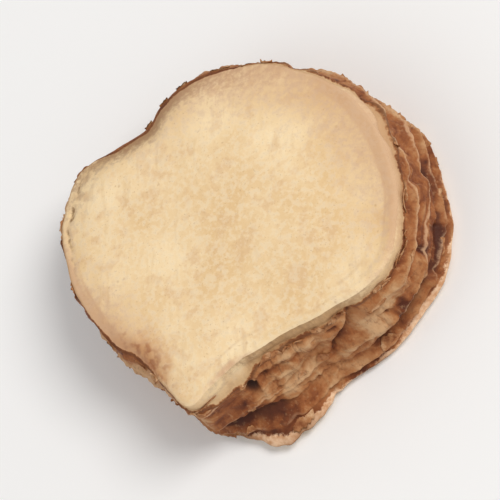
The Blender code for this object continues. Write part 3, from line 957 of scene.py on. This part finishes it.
def add_flake(body, side, draw, seed):
    """Add one closed flake: a ragged strip that follows the side and lifts off towards its free edge."""
    angle, level, way = flake_spot(draw)
    length = draw.uniform(*FLAKE_LENGTH)
    width = draw.uniform(*FLAKE_WIDTH)
    lift = draw.uniform(*FLAKE_LIFT)
    slope = draw.uniform(-FLAKE_SLOPE, FLAKE_SLOPE)
    along, out = np.meshgrid(*(np.linspace(0.0, 1.0, cells + 1) for cells in FLAKE_CELLS), indexing="ij")
    ragged = ripple(along * length, seed * MM, 0.0, FLAKE_RAGGED_LENGTH, seed)
    outline = np.sqrt(np.sin(math.pi * (FLAKE_END_SHARE + (1.0 - 2.0 * FLAKE_END_SHARE) * along)))
    reach = width * outline * (1.0 + FLAKE_RAGGED * ragged)
    angles = angle + (along - 0.5) * length / SIDE_MEAN_RADIUS
    levels = level + (slope * (along - 0.5) * length + way * out * reach) / THICKNESS
    outward = np.stack((np.cos(angles), np.sin(angles), np.zeros_like(angles)), axis=-1)
    rise = lift * out ** 2 * (1.0 + ragged) - FLAKE_SINK * (1.0 - out)
    inner = on_side(side, angles, levels) + outward * rise[..., None]
    outer = inner + outward * FLAKE_THICKNESS
    layers = [[[body.verts.new(point) for point in row] for row in layer] for layer in (inner, outer)]
    rows, columns = FLAKE_CELLS
    for layer in layers:
        for i in range(rows):
            for j in range(columns):
                body.faces.new((layer[i][j], layer[i + 1][j], layer[i + 1][j + 1], layer[i][j + 1]))
    border = [(i, 0) for i in range(rows)] + [(rows, j) for j in range(columns)]
    border += [(i, columns) for i in range(rows, 0, -1)] + [(0, j) for j in range(columns, 0, -1)]
    for (i, j), (k, m) in zip(border, border[1:] + border[:1]):
        body.faces.new((layers[0][i][j], layers[0][k][m], layers[1][k][m], layers[1][i][j]))


def build_flakes(rows):
    """Make the loose flakes of skin, each a closed strip rooted in the side."""
    first = UPPER_RINGS
    side = np.stack([rows[name][first:first + SIDE_RINGS + 1] for name in "xyz"], axis=-1)
    draw = random.Random(SEED + 1)
    body = bmesh.new()
    for number in range(FLAKES):
        add_flake(body, side, draw, FLAKE_SEED + number)
    bmesh.ops.recalc_face_normals(body, faces=body.faces[:])
    mesh = bpy.data.meshes.new("rind_flakes")
    body.to_mesh(mesh)
    body.free()
    mesh.shade_smooth()
    return add_object("rind_flakes", mesh)


def set_inputs(sockets, values):
    """Give each input socket a constant or a link from another node's output."""
    for socket, value in zip(sockets, values):
        if isinstance(value, bpy.types.NodeSocket):
            socket.id_data.links.new(value, socket)
        else:
            socket.default_value = value


def add_node(beside, kind, settings=None, **inputs):
    """Add a node to the tree of another node or socket; inputs go by their names."""
    node = beside.id_data.nodes.new(kind)
    for name, value in (settings or {}).items():
        setattr(node, name, value)
    set_inputs([node.inputs[name] for name in inputs], inputs.values())
    return node


def attribute(beside, name, output="Fac"):
    return add_node(beside, "ShaderNodeAttribute", {"attribute_name": name}).outputs[output]


def chained(operation, values):
    """Join values by one operation; the first is a node's output."""
    result = values[0]
    for value in values[1:]:
        node = add_node(result, "ShaderNodeMath", {"operation": operation})
        set_inputs(node.inputs, (result, value))
        result = node.outputs[0]
    return result


def total(*values):
    return chained("ADD", values)


def times(*values):
    return chained("MULTIPLY", values)


def mix_colours(factor, first, second):
    """Mix a colour with a second one, which may be a constant."""
    node = add_node(factor, "ShaderNodeMix", {"data_type": "RGBA"})
    if not isinstance(second, bpy.types.NodeSocket):
        second = (*second, 1.0)
    set_inputs((node.inputs[0], node.inputs[6], node.inputs[7]), (factor, first, second))
    return node.outputs[2]


def fade(value, start, end, low=0.0, high=1.0):
    """Map a value from start..end to low..high, held at both ends."""
    node = add_node(value, "ShaderNodeMapRange", {"interpolation_type": "SMOOTHSTEP"}, Value=value)
    sockets = [node.inputs[name] for name in ("From Min", "From Max", "To Min", "To Max")]
    set_inputs(sockets, (start, end, low, high))
    return node.outputs["Result"]


def stretched(vector, scale):
    return add_node(vector, "ShaderNodeMapping", Vector=vector, Scale=scale).outputs["Vector"]


def grain_noise(vector, length, detail, roughness=0.55, distortion=0.0):
    """Noise whose features are about length wide where the vector is in metres."""
    node = add_node(
        vector, "ShaderNodeTexNoise",
        Vector=vector, Scale=1.0 / length, Detail=detail, Roughness=roughness, Distortion=distortion,
    )
    return node.outputs["Fac"]


def ramp(factor, stops):
    node = add_node(factor, "ShaderNodeValToRGB", Fac=factor)
    elements = node.color_ramp.elements
    while len(elements) < len(stops):
        elements.new(1.0)
    for element, (place, colour) in zip(elements, stops):
        element.position = place
        element.color = (*colour, 1.0)
    return node.outputs["Color"]


def tint(colour, target, value, start, end, high):
    """Draw the colour towards the target, by up to high, as the value goes from start to end."""
    return mix_colours(fade(value, start, end, 0.0, high), colour, target)


def ragged(name, texture, spread, swing):
    """An attribute that wavers by swing either way, as the texture goes by spread from its middle."""
    waver = fade(texture, 0.5 - spread, 0.5 + spread, -swing, swing)
    return total(attribute(texture, name), waver)


def starch_colour(place, blotches, mottling):
    """Cream flesh: soft clouds, blotches, fine mottling, specks, pores and cut fibres."""
    clouds = grain_noise(place, 5.0 * MM, 2.0)
    colour = ramp(clouds, ((0.32, CREAM_DARK), (0.68, CREAM_LIGHT)))
    colour = tint(colour, BLOTCH, blotches, 0.52, 0.66, 0.36)
    colour = tint(colour, STARCH, mottling, 0.42, 0.66, 0.62)
    specks = grain_noise(place, 0.16 * MM, 2.0, 0.7)
    colour = tint(colour, SPECK, specks, 0.6, 0.74, 0.5)
    cells = add_node(place, "ShaderNodeTexVoronoi", Vector=place, Scale=1.0 / PORE_SPACING)
    pores = fade(cells.outputs["Distance"], 0.04, 0.16, 0.4, 0.0)
    patches = fade(grain_noise(place, 2.4 * MM, 1.0), 0.5, 0.62)
    colour = mix_colours(times(pores, patches), colour, PORE)
    fibres = grain_noise(stretched(place, (1.0, 0.16, 1.0)), 0.42 * MM, 2.0, 0.5)
    fibres = times(fade(fibres, 0.54, 0.72, 0.0, 0.24), fade(clouds, 0.42, 0.56))
    return mix_colours(fibres, colour, FIBRE)


def cortex_colour(place, around, colour):
    """Radial streaks in the outer flesh of a cut face, and the faint line round its core."""
    share = attribute(place, "share")
    patches = fade(grain_noise(place, 5.0 * MM, 1.0), 0.45, 0.6)
    streaks = grain_noise(stretched(around, (17.0, 17.0, 5.0)), 1.0, 1.5, 0.5)
    streaks = times(fade(share, 0.78, 0.92), patches, fade(streaks, 0.48, 0.68, 0.0, 0.32))
    colour = mix_colours(streaks, colour, STREAK)
    inner = fade(share, CORTEX_SHARE - CORTEX_LINE_WIDTH, CORTEX_SHARE)
    outer = fade(share, CORTEX_SHARE + CORTEX_LINE_WIDTH, CORTEX_SHARE)
    return mix_colours(times(inner, outer, patches, 0.22), colour, CORTEX_LINE)


def stain_and_shade_colour(place, blotches, mottling, colour):
    """The brown stain with its darker spots, and the painted shade at the upper left."""
    colour = tint(colour, STAIN, ragged("stain", blotches, 0.15, 0.12), -0.05, 0.9, 0.9)
    soft = grain_noise(place, 0.85 * MM, 2.0, 0.5)
    spots = total(attribute(place, "stain"), fade(soft, 0.38, 0.62, -0.55, 0.25))
    colour = tint(colour, STAIN_SPOT, spots, 0.4, 1.1, 0.85)
    # Painted shade at the upper left
    return tint(colour, SHADE, ragged("shade", mottling, 0.15, 0.15), 0.05, 0.9, 0.92)


def rim_colour(place, mottling, colour):
    """The streaked wall above the rind in painted shade, the painted highlight on the cream rim, the tan
    bands with the face's painted shade, the wall's darker brown with painted shade, and the crack's painted
    shade.
    """
    share = attribute(place, "share")
    # Painted shade on the cut wall above the rind at the lower right
    facet = ragged("facet", mottling, 0.15, 0.15)
    strands = grain_noise(stretched(place, (1.0, 1.0, 0.22)), 0.3 * MM, 4.0, 0.65)
    dull = ramp(strands, ((0.36, FACET_SHADE_DARK), (0.64, FACET_SHADE_LIGHT)))
    colour = tint(colour, dull, facet, 0.05, 0.7, 0.84)
    # Painted highlight along the rim of the upper face, left out where the wall has painted shade
    rim = times(fade(share, 0.972, 0.996), fade(facet, -0.16, 0.15, 0.55, 0.0))
    colour = mix_colours(rim, colour, RIM_HIGHLIGHT)
    # Tan bands at the rim, with the painted shade of the upper face
    colour = tint(colour, TAN_AND_SHADE, ragged("tan", mottling, 0.15, 0.15), 0.05, 0.9, 0.72)
    # Darker brown on the flesh wall above the rind: partly its own colour beside the skin, partly painted
    # shade
    wall = fade(attribute(place, "below"), -1.0, -0.05, 0.0, 0.6)
    wall = times(wall, fade(share, 0.985, 0.998))
    colour = mix_colours(wall, colour, WALL_BROWN_AND_SHADE)
    # Painted shade in the crack beside the left rim
    crack = times(attribute(place, "crack"), fade(mottling, 0.35, 0.6, 0.45, 1.0))
    return tint(colour, CRACK_SHADE, crack, 0.1, 0.8, 0.85)


def flesh_colour(place, around):
    """The cut flesh, from its clear middle to its rim."""
    blotches = grain_noise(place, 1.3 * MM, 3.0, 0.6)
    mottling = grain_noise(place, 0.42 * MM, 4.0, 0.65)
    colour = starch_colour(place, blotches, mottling)
    colour = cortex_colour(place, around, colour)
    colour = stain_and_shade_colour(place, blotches, mottling, colour)
    return rim_colour(place, mottling, colour)


def rind_colour(place):
    """Red-brown to tan rind: striae, thin pale ring lines, and painted shade in its creases, grooves,
    hollows, root hole and scar moats.
    """
    relief = attribute(place, "relief")
    fine = attribute(place, "fine")
    clouds = grain_noise(stretched(place, (1.0, 1.0, 1.4)), 1.6 * MM, 4.0, 0.6, 0.5)
    # Darker in the rind's hollows and paler on its raised parts: painted shade in the hollows, and in part
    # the rind's own paler crests
    heights = total(times(fine, 0.5), fade(relief, -0.7, 0.7, -0.14, 0.14))
    colour = ramp(total(clouds, times(attribute(place, "tone"), 0.22), heights), RIND_RAMP)
    striae = grain_noise(stretched(place, (1.0, 1.0, 0.2)), 0.26 * MM, 4.0, 0.65)
    colour = tint(colour, STRIA_DARK, striae, 0.52, 0.7, 0.4)
    colour = tint(colour, STRIA_LIGHT, striae, 0.44, 0.32, 0.28)
    # Painted shade in the sharp creases
    creases = times(attribute(place, "crease"), fade(clouds, 0.62, 0.4))
    colour = tint(colour, CREASE_SHADE, creases, 0.2, 0.8, 0.7)
    # Painted shade in the grooves and fine hollows
    grooves = fade(relief, -0.62, -0.1, 0.82, 0.0)
    grooves = total(grooves, fade(fine, -0.18, -0.07, 0.6, 0.0))
    colour = mix_colours(grooves, colour, GROOVE_SHADE)
    torn = grain_noise(place, 0.35 * MM, 3.0, 0.6)
    crest = times(attribute(place, "crest"), fade(torn, 0.3, 0.55, 0.45, 1.0))
    colour = tint(colour, CREST, crest, 0.15, 0.75, 0.72)
    # Painted shade in the root hole and the moats of the root scars
    return tint(colour, PIT_SHADE, attribute(place, "pit_shade"), 0.25, 0.7, 0.92)


def edge_colours(place, colour, below, lip):
    """Draw the painted shadow line where the rind starts under the cut rim, and the salmon lip of flesh
    along the lower rim.
    """
    # Painted shadow under the skin's upper edge
    line = times(fade(below, 0.0, 0.08), fade(below, 0.32, 0.1))
    colour = mix_colours(times(line, 0.7), colour, SKIN_EDGE_SHADOW)
    flesh = ramp(grain_noise(place, 0.45 * MM, 3.0, 0.6), LIP_RAMP)
    flesh = tint(flesh, LIP_DULL, attribute(place, "tone"), -0.2, -1.6, 0.95)
    return tint(colour, flesh, lip, -0.04, 0.06, 1.0)


def new_material(name):
    """Make a material, and return it with its shader."""
    material = bpy.data.materials.new(name)
    material.use_nodes = True
    return material, material.node_tree.nodes["Principled BSDF"]


def dress(shader, colour, roughness, height, strength, depth):
    """Give a shader its colour, its roughness, a dull gloss and a fine relief."""
    bump = add_node(shader, "ShaderNodeBump", Height=height, Strength=strength, Distance=depth)
    sockets = [shader.inputs[name] for name in ("Base Color", "Roughness", "Specular IOR Level", "Normal")]
    set_inputs(sockets, (colour, roughness, SPECULAR, bump.outputs["Normal"]))


def root_material():
    """Flesh on the cut faces and above the rind's ragged edge, and rind below it."""
    material, shader = new_material("dried_root")
    place = add_node(shader, "ShaderNodeTexCoord").outputs["Object"]
    around = attribute(place, "around", "Vector")
    torn = grain_noise(place, 0.35 * MM, 4.0, 0.65)
    below = ragged("below", torn, 0.25, 0.05)
    lip = ragged("lip", torn, 0.25, 0.08)
    rind = edge_colours(place, rind_colour(place), below, lip)
    skin = fade(below, -0.03, 0.03)
    colour = mix_colours(skin, flesh_colour(place, around), rind)
    roughness = fade(skin, 0.0, 1.0, FLESH_ROUGHNESS, RIND_ROUGHNESS)
    grain = grain_noise(place, 0.2 * MM, 4.0, 0.65)
    fibres = grain_noise(stretched(place, (1.0, 1.0, 0.25)), 0.16 * MM, 3.0, 0.6)
    dress(shader, colour, roughness, total(grain, times(fibres, skin)), 0.9, GRAIN_DEPTH)
    return material


def flake_material():
    """Thin dry skin: tan to red-brown, mottled."""
    material, shader = new_material("dry_skin")
    place = add_node(shader, "ShaderNodeTexCoord").outputs["Object"]
    colour = ramp(grain_noise(place, 0.9 * MM, 4.0, 0.65), SKIN_RAMP)
    grain = grain_noise(place, 0.12 * MM, 3.0, 0.6)
    dress(shader, colour, SKIN_ROUGHNESS, grain, 0.8, SKIN_GRAIN_DEPTH)
    return material


def add_floor():
    bpy.ops.mesh.primitive_plane_add(size=FLOOR_SIZE)
    floor = bpy.context.object
    floor.name = "floor"
    material, shader = new_material("floor_white")
    shader.inputs["Base Color"].default_value = FLOOR_COLOUR
    shader.inputs["Roughness"].default_value = FLOOR_ROUGHNESS
    floor.data.materials.append(material)


def direction(azimuth, elevation):
    """The unit vector from the middle towards an azimuth from -Y and an elevation above the floor."""
    flat = math.cos(elevation)
    return Vector((math.sin(azimuth) * flat, -math.cos(azimuth) * flat, math.sin(elevation)))


def add_area_light(name, azimuth, elevation, size, watts, colour):
    light = bpy.data.lights.new(name, "AREA")
    light.shape = "DISK"
    light.size = size
    light.energy = watts
    light.color = colour
    lamp = add_object(name, light)
    back = direction(math.radians(azimuth), math.radians(elevation))
    turn = back.to_track_quat("Z", "Y").to_matrix().to_4x4()
    lamp.matrix_world = Matrix.Translation(back * LAMP_DISTANCE) @ turn


def add_lights():
    world = bpy.data.worlds.new("studio")
    bpy.context.scene.world = world
    world.use_nodes = True
    background = world.node_tree.nodes["Background"]
    background.inputs["Color"].default_value = WORLD_COLOUR
    background.inputs["Strength"].default_value = WORLD_STRENGTH
    add_area_light("key", *KEY_LAMP)
    add_area_light("fill", *FILL_LAMP)


def add_camera():
    """Look down on the slice as the photograph does, with the photograph's up kept upright."""
    camera = bpy.data.cameras.new("camera")
    camera.lens = VIEW_LENS
    camera.sensor_width = VIEW_SENSOR
    camera.clip_start, camera.clip_end = VIEW_CLIP
    lens = add_object("camera", camera)
    back = direction(VIEW_AZIMUTH, VIEW_ELEVATION)
    up = Vector((0.0, 1.0, 0.0))
    up = (up - back * up.dot(back)).normalized()
    right = up.cross(back)
    low, high = CAD_BOUNDS
    middle = 0.5 * (Vector(low) + Vector(high))
    distance = VIEW_WIDTH * VIEW_LENS / VIEW_SENSOR
    turn = Matrix((right, up, back)).transposed().to_4x4()
    lens.matrix_world = Matrix.Translation(middle + back * distance) @ turn
    bpy.context.scene.camera = lens


def main():
    add_camera()
    add_lights()
    add_floor()
    rows = slice_rows()
    piece = build_slice(rows)
    piece.data.materials.append(root_material())
    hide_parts(NODE)
    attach(piece, BODY)
    flakes = build_flakes(rows)
    flakes.data.materials.append(flake_material())
    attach(flakes, BODY)
    bpy.context.scene.view_settings.view_transform = "Standard"


main()
